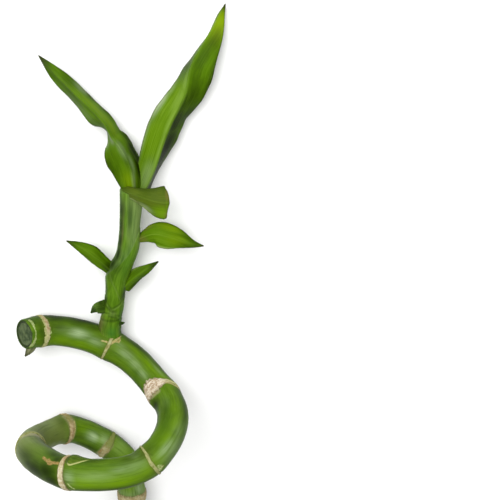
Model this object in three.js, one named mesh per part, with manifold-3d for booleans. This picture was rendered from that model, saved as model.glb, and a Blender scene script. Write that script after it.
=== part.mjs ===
// Lucky bamboo: one spiral cane with a leafy shoot, cut at both ends and laid down on a surface.
//
// Everything is modelled on the upright plant, in millimetres: X to the right, Y away from the front, Z up along
// the plant. The last section lays the plant on its back. Curves run through a few chosen points.

import * as THREE from 'three';
import { mergeVertices } from 'three/addons/utils/BufferGeometryUtils.js';
import Module from 'manifold-3d';

// The cane's centreline, from the upper cut end, round the spiral and down to the lower cut end.
const CANE_PATH = [
  [-40.4, 26.4, 51.2], [-29.5, 35.4, 48.3], [-15.0, 39.8, 44.0], [1.2, 40.0, 37.7], [17.6, 36.2, 28.2],
  [30.8, 24.8, 19.2], [39.8, 9.4, 14.3], [40.4, -8.0, 11.5], [34.8, -23.5, 9.2], [24.2, -34.0, 6.6],
  [8.4, -38.6, 6.2], [-9.5, -35.8, 5.1], [-24.0, -24.5, 2.7], [-34.3, -8.8, -2.0], [-37.5, 8.1, -7.8],
  [-32.4, 24.0, -13.5], [-22.3, 35.0, -17.3], [-7.9, 39.5, -27.1], [6.1, 37.8, -37.3],
  [11.4, 36.5, -49.5], [12.0, 35.6, -68.0], [11.6, 35.8, -90.0], [10.8, 36.6, -114.0],
  [9.5, 38.0, -138.0], [7.5, 40.0, -162.0],
];
const CANE_RADII = [8.3, 8.5, 8.4, 8.2, 8.2, 7.8, 7.6, 7.1, 7.2]; // at even stations from top to foot
const CANE_SIDES = 20;
const CANE_STEP = 5.5; // longest stretch of cane between two rows of faces
const CANE_TOP_CUT = { bevel: 0.7, recessRim: 1.3, recessDepth: 0.9 };
const FOOT_BEVEL = 0.7;

// The cane's joints: where the scar ring's middle lies along the cane, its width, and how much wider it is on
// the side that faces the direction given. A ring may lean back along the cane on that side, and the cane may swell
// more than usual there.
const JOINTS = [
  { name: 'top', at: 10.1, width: 2.2, wider: 2.0, side: [0.67, -0.71, 0.24] },
  { name: 'shoot', at: 49.8, width: 1.2, wider: 0.8, side: [0, -1, 0.5], swell: 0.6 },
  { name: 'broad', at: 94.1, width: 2.0, wider: 9.0, side: [-0.59, -0.59, 0.54], lean: 3.8, swell: 0.6 },
  { name: 'right', at: 146.4, width: 1.1, wider: 0.6, side: [0.47, -0.59, 0.66], lean: -3.6 },
  { name: 'front', at: 191.2, width: 2.4, wider: 0.8, side: [-0.04, -0.74, -0.67], lean: 1.35 },
  { name: 'left', at: 235.6, width: 2.6, wider: 1.0, side: [0.28, 0.37, 0.88], lean: -4.3, swell: 0.1 },
  { name: 'back', at: 277.0, width: 2.6, wider: 0.6, side: [0.67, -0.68, 0.29], swell: 0.9 },
  { name: 'hidden', at: 306.0, width: 1.8, wider: 3.0, side: [0.09, -0.95, 0.3], swell: 0.4 },
  { name: 'straight', at: 344.8, width: 5.5, wider: 1.5, side: [0, -1, 0], swell: 1.1 },
  { name: 'foot', at: 404.8, width: 2.6, wider: 1.0, side: [0, -1, 0] },
];
const JOINT_SWELL = 0.5; // the cane is this much thicker round a joint
const JOINT_REACH = 5; // and the swelling fades over this length
const GROOVE_DEPTH = 0.7;
const RING_PROUD = 0.35;
const GAP = 0.3; // between a piece and the one that carries it

// The shoot's stem: centreline, half widths, and where its wrapped leaf bases end.
const SHOOT_PATH = [
  [4.4, 41.0, 35.6], [4.4, 40.5, 44.4], [5.3, 40.1, 52.3], [7.1, 39.8, 59.5], [8.5, 39.5, 67.2],
  [9.8, 39.2, 74.9], [11.1, 38.9, 82.1], [14.0, 38.6, 88.8], [16.8, 38.4, 96.0], [18.2, 38.2, 103.8],
  [19.1, 38.0, 113.3], [20.2, 38.0, 122.6], [20.7, 38.0, 131.8],
];
const SHOOT_RADII = [5.2, 6.4, 5.8, 5.3, 5.5, 6.0, 6.5, 5.9, 6.1, 5.8, 5.9, 6.3, 6.3];
const SHOOT_SIDES = 14;
const SHOOT_ROWS = 22;

// Each leaf: midrib, half width, and how far its left and right halves fold back from the plane that faces
// the front, all at even stations from base to tip. The margins wave up and down.
const FACING = [0, -0.94, 0.34];
const BIG_BLADE = { across: 4, along: 22, thick: 0.8, bow: 0.06 };
const SMALL_BLADE = { across: 3, along: 10, thick: 0.7, bow: 0.06 };
const SCALE_BLADE = { across: 2, along: 6, thick: 0.7, bow: 0.1 };
const LEAVES = [
  {
    ...BIG_BLADE,
    name: 'leaf_big_right',
    wraps: true,
    material: 'leaf',
    midrib: [
      [23.5, 38.0, 124.5], [31.5, 38.0, 138.5], [38.0, 38.5, 156.5], [44.0, 40.0, 170.5],
      [50.2, 42.5, 182.9], [53.2, 46.0, 196.1], [61.4, 50.5, 209.3], [66.5, 54.0, 218.1],
      [70.5, 57.5, 225.1],
    ],
    halfWidth: [5.0, 9.4, 11.2, 11.4, 11.6, 12.2, 8.0, 4.0, 0.3],
    left: [50, 20, 12, 20, 40, 76, 78, 74, 70],
    right: [70, 80, 66, 61, 40, 12, 5, 8, 10],
    wave: { height: 0.6, count: 3.5, shift: 2.0, fullWidth: 8 },
  },
  {
    ...BIG_BLADE,
    name: 'leaf_big_left',
    wraps: true,
    material: 'leaf',
    midrib: [
      [22.0, 36.5, 126.5], [21.5, 35.5, 142.0], [18.8, 34.5, 151.9], [15.1, 34.0, 158.9],
      [12.4, 34.0, 162.5], [9.8, 34.0, 168.9], [3.8, 35.0, 176.4], [-3.9, 37.0, 183.6],
      [-13.6, 40.0, 192.8], [-23.0, 44.0, 202.3],
    ],
    halfWidth: [6.5, 10.2, 11.9, 10.9, 10.0, 9.5, 9.2, 8.0, 5.4, 0.3],
    left: [40, 15, 22, 54, 78, 58, 51, 54, 49, 45],
    right: [50, 58, 64, 61, 60, 66, 66, 57, 52, 45],
    wave: { height: 0.5, count: 3.5, shift: 1.0, fullWidth: 8 },
  },
  {
    ...BIG_BLADE,
    along: 16,
    name: 'leaf_curled',
    material: 'curledLeaf',
    midrib: [
      [15.7, 37.0, 131.9], [23.0, 29.0, 133.0], [29.6, 24.5, 132.4], [34.8, 23.0, 131.3],
      [38.5, 22.5, 130.9], [40.4, 22.5, 130.9], [41.8, 22.5, 130.8],
    ],
    halfWidth: [3.2, 3.8, 6.0, 8.4, 9.0, 6.7, 0.3],
    left: [35, 20, 12, 12, 14, 16, 20],
    right: [35, 30, 28, 25, 22, 20, 20],
    wave: { height: 0.3, count: 1.5, shift: 1.0, fullWidth: 8 },
  },
  {
    ...SMALL_BLADE,
    name: 'leaf_right_upper',
    material: 'leaf',
    midrib: [
      [21.5, 37.0, 102.5], [30.8, 35.0, 107.4], [37.7, 35.0, 106.5], [44.6, 37.0, 103.5],
      [51.1, 40.0, 99.5], [57.7, 44.0, 96.3],
    ],
    halfWidth: [1.5, 5.9, 7.4, 5.8, 2.9, 0.3],
    left: [40, 28, 18, 15, 20, 20],
    right: [40, 25, 15, 15, 25, 20],
    wave: { height: 0.3, count: 1.5, shift: 1.0, fullWidth: 6 },
  },
  {
    ...SMALL_BLADE,
    name: 'leaf_right_lower',
    material: 'leaf',
    midrib: [[13.0, 37.0, 73.5], [20.5, 36.0, 81.2], [26.5, 37.0, 85.3], [33.3, 39.0, 89.4]],
    halfWidth: [5.0, 4.8, 3.0, 0.3],
    left: [30, 20, 20, 20],
    right: [45, 50, 40, 20],
    wave: { height: 0.2, count: 1.5, shift: 1.0, fullWidth: 5 },
  },
  {
    ...SMALL_BLADE,
    name: 'leaf_left_lower',
    material: 'leaf',
    midrib: [
      [9.0, 36.0, 83.5], [2.2, 33.0, 92.8], [-2.3, 32.0, 97.6], [-8.0, 33.0, 101.1],
      [-15.1, 36.0, 103.2],
    ],
    halfWidth: [4.0, 5.2, 5.0, 3.0, 0.3],
    left: [45, 38, 38, 32, 20],
    right: [40, 42, 26, 25, 20],
    wave: { height: 0.2, count: 1.5, shift: 1.0, fullWidth: 5 },
  },
  {
    ...SCALE_BLADE,
    name: 'bract_left',
    material: 'stem',
    midrib: [[4.4, 39.5, 62.5], [1.3, 35.5, 62.9], [-1.4, 33.5, 63.3], [-4.2, 32.0, 61.3]],
    halfWidth: [3.7, 3.7, 2.7, 0.3],
    left: [20, 20, 20, 20],
    right: [25, 20, 20, 20],
    wave: { height: 0, count: 1, shift: 0, fullWidth: 5 },
  },
  {
    ...SCALE_BLADE,
    along: 4,
    name: 'bract_right',
    material: 'stem',
    midrib: [[7.7, 38.5, 50.4], [11.5, 36.5, 52.2], [13.5, 35.0, 53.7]],
    halfWidth: [1.6, 1.0, 0.3],
    left: [20, 20, 20],
    right: [30, 20, 20],
    wave: { height: 0, count: 1, shift: 0, fullWidth: 5 },
  },
];

// A flat bud that lies on the cane beside its front joint, given along the cane and round it, and a dry scrap
// of sheath under the upper cut.
const BUD = { from: 189.9, to: 178.3, side: [-0.1, 0.4, 0.9], halfWidth: 7, height: 1.2 };
const SCRAP = {
  ...SCALE_BLADE,
  midrib: [[-36.7, 27.0, 44.6], [-38.1, 24.0, 42.4], [-40.3, 22.0, 39.7]],
  halfWidth: [2.8, 2.2, 0.3],
  left: [15, 15, 10],
  right: [25, 20, 10],
  wave: { height: 0.3, count: 1, shift: 0, fullWidth: 3 },
};

// The lying pose, in degrees.
const LAID_DOWN = { tip: -89.003, roll: -5.991 };

const MATERIALS = {
  cane: { color: 0x4f8a1c, roughness: 0.35 },
  ring: { color: 0xb89a6a, roughness: 0.8 },
  cut: { color: 0x4b5a3c, roughness: 0.8 },
  stem: { color: 0x5f9440, roughness: 0.4 },
  leaf: { color: 0x4f9410, roughness: 0.4 },
  curledLeaf: { color: 0x6e872d, roughness: 0.45 },
  bud: { color: 0xa8a83c, roughness: 0.5 },
  dry: { color: 0x8f7f5d, roughness: 0.85 },
};

const radians = THREE.MathUtils.degToRad;
const vector = (p) => new THREE.Vector3(...p);

// A smooth curve through the points, with even steps of t from one point to the next. It is a cubic B-spline
// whose control points are moved until it passes through them. Points are arrays of any length.
function smooth(points) {
  const last = points.length - 1;
  const blend = (a, b, c, i) => (a[i] + 4 * b[i] + c[i]) / 6;
  let controls = points.map((p) => [...p]);
  for (let round = 0; round < 40; round++) {
    controls = controls.map((c, k) => (k === 0 || k === last ? c : c.map(
      (value, i) => value + points[k][i] - blend(controls[k - 1], c, controls[k + 1], i))));
  }
  const beyond = (end, next) => end.map((value, i) => 2 * value - next[i]);
  const all = [beyond(controls[0], controls[1]), ...controls, beyond(controls[last], controls[last - 1])];
  return (t) => {
    const k = Math.min(Math.floor(Math.max(t, 0)), last - 1);
    const f = t - k;
    const weights = [(1 - f) ** 3, 3 * f ** 3 - 6 * f ** 2 + 4, -3 * f ** 3 + 3 * f ** 2 + 3 * f + 1, f ** 3];
    return points[0].map((_, i) => weights.reduce((sum, w, j) => sum + w * all[k + j][i], 0) / 6);
  };
}

// A centreline measured by length, with a cross direction at each point that never twists.
function centreline(points, samples) {
  const curve = smooth(points);
  const places = [];
  for (let k = 0; k <= samples; k++) places.push(vector(curve((k / samples) * (points.length - 1))));
  const lengths = [0];
  for (let k = 1; k <= samples; k++) lengths.push(lengths[k - 1] + places[k].distanceTo(places[k - 1]));
  const tangents = places.map((_, k) => new THREE.Vector3()
    .subVectors(places[Math.min(k + 1, samples)], places[Math.max(k - 1, 0)]).normalize());
  const crosses = [new THREE.Vector3(0, -1, 0)];
  for (let k = 0; k <= samples; k++) {
    const cross = crosses[Math.max(k - 1, 0)].clone();
    crosses[k] = cross.addScaledVector(tangents[k], -cross.dot(tangents[k])).normalize();
  }
  const length = lengths[samples];
  const at = (s) => {
    const inside = Math.min(Math.max(s, 0), length);
    let k = 0;
    while (k < samples - 1 && lengths[k + 1] < inside) k++;
    const f = (inside - lengths[k]) / (lengths[k + 1] - lengths[k]);
    const place = places[k].clone().lerp(places[k + 1], f);
    const tangent = tangents[k].clone().lerp(tangents[k + 1], f).normalize();
    const cross = crosses[k].clone().lerp(crosses[k + 1], f);
    cross.addScaledVector(tangent, -cross.dot(tangent)).normalize();
    place.addScaledVector(tangent, s - inside);
    return { place, tangent, cross, other: new THREE.Vector3().crossVectors(tangent, cross) };
  };
  const around = (s, angle, radius) => {
    const { place, cross, other } = at(s);
    return place.addScaledVector(cross, radius * Math.cos(angle)).addScaledVector(other, radius * Math.sin(angle));
  };
  const angleTo = (s, direction) => {
    const { cross, other } = at(s);
    return Math.atan2(other.dot(direction), cross.dot(direction));
  };
  return { length, at, around, angleTo };
}

// A closed solid from rows of points. Each row is a loop of the same count. The first and last rows are closed
// by a fan round their middle.
function solidFromRows(rows) {
  const count = rows[0].length;
  const middle = (row) => row.reduce((sum, p) => sum.add(p), new THREE.Vector3()).divideScalar(count);
  const points = [...rows.flat(), middle(rows[0]), middle(rows[rows.length - 1])];
  const faces = [];
  for (let r = 0; r < rows.length - 1; r++) {
    for (let k = 0; k < count; k++) {
      const next = (k + 1) % count;
      const [a, b, c, d] = [r * count + k, r * count + next, (r + 1) * count + next, (r + 1) * count + k];
      faces.push(a, b, c, a, c, d);
    }
  }
  const lastRow = (rows.length - 1) * count;
  for (let k = 0; k < count; k++) {
    const next = (k + 1) % count;
    faces.push(rows.length * count, next, k, rows.length * count + 1, lastRow + k, lastRow + next);
  }
  return closedGeometry(points, faces);
}

// A closed solid from rows that return to the first one, such as a ring.
function solidFromLoop(rows) {
  const count = rows[0].length;
  const faces = [];
  rows.forEach((_, r) => {
    const after = ((r + 1) % rows.length) * count;
    for (let k = 0; k < count; k++) {
      const next = (k + 1) % count;
      faces.push(r * count + k, r * count + next, after + next, r * count + k, after + next, after + k);
    }
  });
  return closedGeometry(rows.flat(), faces);
}

// Turns the faces outward where the solid came out inside out.
function closedGeometry(points, faces) {
  let volume = 0;
  for (let k = 0; k < faces.length; k += 3) {
    const [a, b, c] = [points[faces[k]], points[faces[k + 1]], points[faces[k + 2]]];
    volume += a.dot(new THREE.Vector3().crossVectors(b, c));
  }
  if (volume < 0) faces.reverse();
  const geometry = new THREE.BufferGeometry();
  geometry.setAttribute('position', new THREE.Float32BufferAttribute(points.flatMap((p) => [p.x, p.y, p.z]), 3));
  geometry.setIndex(faces);
  return geometry;
}

const angles = (count) => Array.from({ length: count }, (_, k) => (2 * Math.PI * k) / count);

// The cane.
const cane = centreline(CANE_PATH, 600);
const caneAngles = angles(CANE_SIDES);
const joints = JOINTS.map((joint) => {
  const wideAngle = cane.angleTo(joint.at, vector(joint.side));
  const half = (angle) => (joint.width + joint.wider * Math.max(0, Math.cos(angle - wideAngle)) ** 2) / 2;
  const middle = (angle) => joint.at - (joint.lean ?? 0) * Math.cos(angle - wideAngle);
  return { ...joint, half, middle };
});

const caneTaper = smooth(CANE_RADII.map((r) => [r]));

function caneRadius(s) {
  const taper = caneTaper((s / cane.length) * (CANE_RADII.length - 1))[0];
  const swell = joints.reduce((sum, joint) => sum
    + (joint.swell ?? JOINT_SWELL) * Math.exp(-(((s - joint.at) / JOINT_REACH) ** 2)), 0);
  return taper + swell;
}

function caneRows() {
  const row = (where, inset) => caneAngles.map((angle) => {
    const s = where(angle);
    return cane.around(s, angle, caneRadius(s) - inset);
  });
  const { bevel, recessRim, recessDepth } = CANE_TOP_CUT;
  const rows = [
    row(() => recessDepth, recessRim),
    row(() => 0, recessRim),
    row(() => 0, bevel),
  ];
  const grooves = joints.flatMap((joint) => {
    const edge = (sign, more) => (angle) => joint.middle(angle) + sign * (joint.half(angle) + GAP + more);
    return [
      { where: edge(-1, 0.3), inset: 0 },
      ...[-1, -0.33, 0.33, 1].map((across) => ({ where: edge(across, 0), inset: GROOVE_DEPTH })),
      { where: edge(1, 0.3), inset: 0 },
    ];
  });
  const marks = [
    { where: () => bevel, inset: 0 },
    ...grooves,
    { where: () => cane.length - FOOT_BEVEL, inset: 0 },
    { where: () => cane.length, inset: FOOT_BEVEL },
  ];
  marks.forEach((mark, k) => {
    rows.push(row(mark.where, mark.inset));
    const next = marks[k + 1];
    if (!next || mark.inset || next.inset) return;
    const steps = Math.ceil((next.where(0) - mark.where(0)) / CANE_STEP);
    for (let step = 1; step < steps; step++) {
      rows.push(row((angle) => THREE.MathUtils.lerp(mark.where(angle), next.where(angle), step / steps), 0));
    }
  });
  return rows;
}

// A dry scar ring, seated in its groove.
function ringGeometry(joint) {
  const floor = -GROOVE_DEPTH + GAP;
  const profile = [
    [-1, floor], [-1, 0.1], [-0.6, RING_PROUD], [0, RING_PROUD], [0.6, RING_PROUD], [1, 0.1], [1, floor],
    [0.33, floor], [-0.33, floor],
  ];
  return solidFromLoop(caneAngles.map((angle) => profile.map(([across, height]) => {
    const s = joint.middle(angle) + across * joint.half(angle);
    return cane.around(s, angle, caneRadius(s) + height);
  })));
}

// The dried face of the upper cut, a thin disc seated in the recess.
function cutFaceGeometry() {
  const { recessRim, recessDepth } = CANE_TOP_CUT;
  const disc = (s, inset) => caneAngles.map((angle) => cane.around(s, angle, caneRadius(0) - recessRim - inset));
  return solidFromRows([disc(-0.1, GAP + 0.4), disc(0.1, GAP), disc(recessDepth - GAP, GAP)]);
}

// A tube of changing radius along a centreline.
function tubeRows(line, radii, rows, sides, extra = 0) {
  const radius = smooth(radii.map((r) => [r]));
  return Array.from({ length: rows + 1 }, (_, k) => angles(sides).map((angle) => line.around(
    (line.length * k) / rows, angle, radius((k / rows) * (radii.length - 1))[0] + extra)));
}

const wasm = await Module();
wasm.setup();

function toSolid(geometry) {
  const bare = geometry.clone();
  bare.deleteAttribute('normal');
  const merged = mergeVertices(bare, 1e-4);
  return new wasm.Manifold(new wasm.Mesh({
    numProp: 3,
    vertProperties: new Float32Array(merged.attributes.position.array),
    triVerts: new Uint32Array(merged.index.array),
  }));
}

function fromSolid(solid) {
  const mesh = solid.getMesh();
  const geometry = new THREE.BufferGeometry();
  geometry.setAttribute('position', new THREE.Float32BufferAttribute(mesh.vertProperties, 3));
  geometry.setIndex(Array.from(mesh.triVerts));
  return geometry;
}

// The largest body that is left when the neighbours, made fatter by the gap, are cut away.
function seated(geometry, fatNeighbours) {
  let solid = toSolid(geometry);
  fatNeighbours.forEach((neighbour) => { solid = solid.subtract(neighbour); });
  const bodies = solid.decompose();
  bodies.sort((a, b) => b.volume() - a.volume());
  return fromSolid(bodies[0]);
}

// The bud: rows across it from its broad base to its point, each a flat arch over the cane's surface.
function budGeometry() {
  const arches = [0.8, 1, 0.86, 0.66, 0.46, 0.28, 0.12];
  const across = [-1, -0.8, -0.55, -0.28, 0, 0.28, 0.55, 0.8, 1];
  const middle = cane.angleTo(BUD.from, vector(BUD.side));
  return solidFromRows(arches.map((size, k) => {
    const s = THREE.MathUtils.lerp(BUD.from, BUD.to, k / (arches.length - 1));
    const base = caneRadius(s) + GAP;
    const place = (v, height) => cane.around(s, middle + (v * size * BUD.halfWidth) / base, base + height);
    const outer = across.map((v) => place(v, 0.2 + size * BUD.height * (1 - v * v)));
    const inner = across.map((v) => place(v, 0)).reverse();
    return [...outer, ...inner];
  }));
}

// One thin blade, folded along its midrib.
function leafGeometry(leaf, thicker = 0) {
  const last = leaf.midrib.length - 1;
  const shape = smooth(leaf.midrib.map((p, k) => [...p, leaf.halfWidth[k], leaf.left[k], leaf.right[k]]));
  const facing = vector(leaf.facing ?? FACING);
  const columns = [];
  for (let k = -leaf.across; k <= leaf.across; k++) columns.push(k / leaf.across);
  const rows = [];
  for (let r = 0; r <= leaf.along; r++) {
    const t = (last * r) / leaf.along;
    const [x, y, z, width, left, right] = shape(t);
    const ahead = vector(shape(Math.min(t + 0.01, last)).slice(0, 3));
    const behind = vector(shape(Math.max(t - 0.01, 0)).slice(0, 3));
    const tangent = ahead.sub(behind).normalize();
    const side = new THREE.Vector3().crossVectors(tangent, facing).normalize();
    const front = new THREE.Vector3().crossVectors(side, tangent).normalize();
    const upper = [];
    const lower = [];
    columns.forEach((v) => {
      const fold = radians(v < 0 ? left : right);
      const reach = Math.abs(v) * Math.max(width, 0.35);
      const phase = v < 0 ? 0 : leaf.wave.shift;
      const wave = leaf.wave.height * v * v * Math.sin(2 * Math.PI * leaf.wave.count * (r / leaf.along) + phase)
        * Math.min(1, width / leaf.wave.fullWidth);
      const bow = leaf.bow * width * Math.abs(v) * (1 - Math.abs(v));
      const lift = -reach * Math.sin(fold) + wave * Math.cos(fold) + bow * Math.cos(fold);
      const out = Math.sign(v) * (reach * Math.cos(fold) + (wave + bow) * Math.sin(fold));
      const place = new THREE.Vector3(x, y, z).addScaledVector(side, out).addScaledVector(front, lift);
      const normal = front.clone().multiplyScalar(Math.cos(v === 0 ? 0 : fold))
        .addScaledVector(side, Math.sign(v) * Math.sin(v === 0 ? 0 : fold));
      const thick = THREE.MathUtils.lerp(leaf.thick + 0.5, leaf.thick, Math.abs(v)) / 2 + thicker;
      upper.push(place.clone().addScaledVector(normal, thick));
      lower.unshift(place.clone().addScaledVector(normal, -thick));
    });
    rows.push([...upper, ...lower]);
  }
  return bladeSolid(rows, columns.length);
}

// A closed blade from rows that hold the front face's points and then the back face's, split alike on both.
function bladeSolid(rows, width) {
  const count = 2 * width;
  const faces = [];
  const quad = (a, b, c, d) => faces.push(a, b, c, a, c, d);
  for (let r = 0; r < rows.length - 1; r++) {
    for (let k = 0; k < count; k++) {
      const next = (k + 1) % count;
      const [a, b, c, d] = [r * count + k, r * count + next, (r + 1) * count + next, (r + 1) * count + k];
      if (k < width) quad(a, b, c, d);
      else quad(b, c, d, a);
    }
  }
  const lastRow = (rows.length - 1) * count;
  for (let k = 0; k < width - 1; k++) {
    const [a, b, c, d] = [k, k + 1, count - 2 - k, count - 1 - k];
    quad(d, c, b, a);
    quad(lastRow + a, lastRow + b, lastRow + c, lastRow + d);
  }
  return closedGeometry(rows.flat(), faces);
}

// The plant, upright.
const plant = new THREE.Group();

function add(name, geometry, material) {
  const mesh = new THREE.Mesh(geometry, new THREE.MeshStandardMaterial({ metalness: 0, ...MATERIALS[material] }));
  mesh.name = name;
  plant.add(mesh);
  return mesh;
}

const caneGeometry = solidFromRows(caneRows());
add('cane', caneGeometry, 'cane');
joints.forEach((joint) => add(`ring_${joint.name}`, ringGeometry(joint), 'ring'));
add('cut_face', cutFaceGeometry(), 'cut');

const shoot = centreline(SHOOT_PATH, 200);
const fatCane = (from, to) => toSolid(solidFromRows(Array.from({ length: 41 }, (_, k) => {
  const s = THREE.MathUtils.lerp(from, to, k / 40);
  return caneAngles.map((angle) => cane.around(s, angle, caneRadius(s) + RING_PROUD + GAP));
})));
const stemRows = tubeRows(shoot, SHOOT_RADII, SHOOT_ROWS, SHOOT_SIDES);
add('shoot_stem', seated(solidFromRows(stemRows), [fatCane(23, 83)]), 'stem');
add('bud', budGeometry(), 'bud');
add('dry_scrap', seated(leafGeometry(SCRAP), [fatCane(-2, 20)]), 'dry');

const fatStem = toSolid(solidFromRows(tubeRows(shoot, SHOOT_RADII, SHOOT_ROWS, SHOOT_SIDES, GAP + 0.05)));
const fatLeaves = [];
LEAVES.forEach((leaf) => {
  add(leaf.name, seated(leafGeometry(leaf), [fatStem, ...fatLeaves]), leaf.material);
  if (leaf.wraps) fatLeaves.push(toSolid(leafGeometry(leaf, GAP)));
});

// Laid down on its back, so that the back of the upper arm, the lower cut end and the large right leaf touch the
// surface. It is turned round its own length first and then tipped over. The middle of its footprint is the origin.
const group = new THREE.Group();
plant.rotation.set(radians(LAID_DOWN.tip), 0, radians(LAID_DOWN.roll));
const box = new THREE.Box3().setFromObject(plant, true);
const middle = box.getCenter(new THREE.Vector3());
plant.position.set(-middle.x, -middle.y, -box.min.z);
group.add(plant);

export default group;
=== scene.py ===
# Lucky bamboo: one spiral cane with a leafy shoot, laid down on a pale surface.
#
# Every form is made on the upright plant first, in millimetres, as in the part's own source: X to the right,
# Y away from the front, Z up along the plant. Then the same turn and move lay it down, in metres.

import math

import bpy
import numpy as np
from mathutils import Matrix


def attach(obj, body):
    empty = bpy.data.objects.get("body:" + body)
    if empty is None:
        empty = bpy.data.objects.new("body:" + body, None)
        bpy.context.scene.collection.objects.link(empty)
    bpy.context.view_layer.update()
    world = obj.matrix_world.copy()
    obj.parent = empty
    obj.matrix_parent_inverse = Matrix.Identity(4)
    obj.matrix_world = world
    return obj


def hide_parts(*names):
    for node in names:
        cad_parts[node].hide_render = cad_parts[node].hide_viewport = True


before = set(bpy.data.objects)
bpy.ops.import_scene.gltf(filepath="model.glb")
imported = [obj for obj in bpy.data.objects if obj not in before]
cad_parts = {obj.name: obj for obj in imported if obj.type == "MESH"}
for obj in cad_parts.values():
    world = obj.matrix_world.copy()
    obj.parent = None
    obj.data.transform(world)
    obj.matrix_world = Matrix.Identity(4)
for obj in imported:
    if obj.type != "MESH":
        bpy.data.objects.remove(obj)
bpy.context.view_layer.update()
MM = 0.001
scene = bpy.context.scene

# The lying pose, as in the part's source, and the move that follows it, in millimetres.
TIP, ROLL = math.radians(-89.003), math.radians(-5.991)
MOVE = np.array([-15.8119, -32.0245, 48.8383])
ABOUT_X = np.array([[1, 0, 0], [0, math.cos(TIP), -math.sin(TIP)], [0, math.sin(TIP), math.cos(TIP)]])
ABOUT_Z = np.array([[math.cos(ROLL), -math.sin(ROLL), 0], [math.sin(ROLL), math.cos(ROLL), 0], [0, 0, 1]])
TURN = ABOUT_X @ ABOUT_Z


def lay(points):
    return (np.asarray(points, float) @ TURN.T + MOVE) * MM


def add_object(name, data, place=None, *axes):
    """A new object in the scene. place is in metres, and the axes are its own X, Y and Z."""
    made = bpy.data.objects.new(name, data)
    scene.collection.objects.link(made)
    if axes:
        pose = np.eye(4)
        pose[:3, :3] = np.stack(axes, axis=1)
        pose[:3, 3] = place
        made.matrix_world = Matrix(pose.tolist())
    return made


# The camera: the photograph's view of the plant.
CAMERA_FALL = math.radians(26)
SENSOR_WIDTH = 36
FOCAL_IN_WIDTHS = 2.2
AHEAD = np.array([0, math.cos(CAMERA_FALL), -math.sin(CAMERA_FALL)])
RIGHT = np.array([1.0, 0, 0])
ABOVE = np.array([0, math.sin(CAMERA_FALL), math.cos(CAMERA_FALL)])
EYE = np.array([82.909, -493.845, 356.170])

camera_data = bpy.data.cameras.new("camera")
camera_data.sensor_width = SENSOR_WIDTH
camera_data.lens = SENSOR_WIDTH * FOCAL_IN_WIDTHS
camera_data.clip_start = 0.01
camera_data.clip_end = 20
scene.camera = add_object("camera", camera_data, lay(EYE), TURN @ RIGHT, TURN @ ABOVE, TURN @ -AHEAD)


# Curves

SPLINE_PASSES = 40  # rounds of moving the control points until the curve passes through the points


def smooth(points):
    """A cubic B-spline that passes through the points, with even steps of t from one to the next."""
    points = np.asarray(points, float)
    last = len(points) - 1
    controls = points.copy()
    for _ in range(SPLINE_PASSES):
        moved = controls.copy()
        moved[1:-1] += points[1:-1] - (controls[:-2] + 4 * controls[1:-1] + controls[2:]) / 6
        controls = moved
    every = np.vstack([2 * controls[0] - controls[1], controls, 2 * controls[-1] - controls[-2]])

    def at(t):
        t = np.asarray(t, float)
        k = np.clip(np.floor(t).astype(int), 0, last - 1)
        f = (t - k)[..., None]
        weights = ((1 - f) ** 3, 3 * f ** 3 - 6 * f ** 2 + 4, -3 * f ** 3 + 3 * f ** 2 + 3 * f + 1, f ** 3)
        return sum(w * every[k + j] for j, w in enumerate(weights)) / 6
    return at


def unit(v):
    return v / np.linalg.norm(v, axis=-1, keepdims=True)


class Centreline:
    """A centreline measured by length, with a cross direction at each point that never twists."""

    def __init__(self, points, samples):
        places = smooth(points)(np.linspace(0, len(points) - 1, samples + 1))
        self.places = places
        self.lengths = np.concatenate([[0], np.cumsum(np.linalg.norm(np.diff(places, axis=0), axis=1))])
        self.length = self.lengths[-1]
        ahead = np.minimum(np.arange(samples + 1) + 1, samples)
        behind = np.maximum(np.arange(samples + 1) - 1, 0)
        self.tangents = unit(places[ahead] - places[behind])
        cross = np.array([0.0, -1.0, 0.0])
        self.crosses = np.zeros_like(places)
        for k, tangent in enumerate(self.tangents):
            cross = unit(cross - (cross @ tangent) * tangent)
            self.crosses[k] = cross

    def at(self, s):
        s = np.asarray(s, float)
        inside = np.clip(s, 0, self.length)

        def read(values):
            return np.stack([np.interp(inside, self.lengths, values[:, i]) for i in range(3)], axis=-1)
        tangent = unit(read(self.tangents))
        cross = read(self.crosses)
        cross = unit(cross - np.sum(cross * tangent, -1, keepdims=True) * tangent)
        place = read(self.places) + (s - inside)[..., None] * tangent
        return place, tangent, cross, np.cross(tangent, cross)

    def around(self, s, angle, radius):
        place, _, cross, other = self.at(s)
        radius = np.asarray(radius, float)
        return (place + (radius * np.cos(angle))[..., None] * cross
                + (radius * np.sin(angle))[..., None] * other)

    def angle_to(self, s, direction):
        _, _, cross, other = self.at(s)
        return math.atan2(other @ direction, cross @ direction)


def waves(x, y, seed, count=6, low=0.5, high=1.5):
    """A smooth random field of x and y, about -1 to 1. y is an angle, so the field closes round a stem."""
    chance = np.random.default_rng(seed)
    total = 0
    for _ in range(count):
        k = chance.uniform(low, high)
        m = chance.integers(0, 4)
        total = total + np.sin(k * x + m * y + chance.uniform(0, 2 * math.pi))
    return total / math.sqrt(count)


def rise(x):
    """0 below x = 0, 1 above x = 1, and smooth between."""
    x = np.clip(x, 0, 1)
    return x * x * (3 - 2 * x)


def hill(x):
    """1 at x = 0, and smoothly down to 0 on both sides, with 0.37 at x = 1."""
    return np.exp(-x ** 2)


# Meshes

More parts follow.
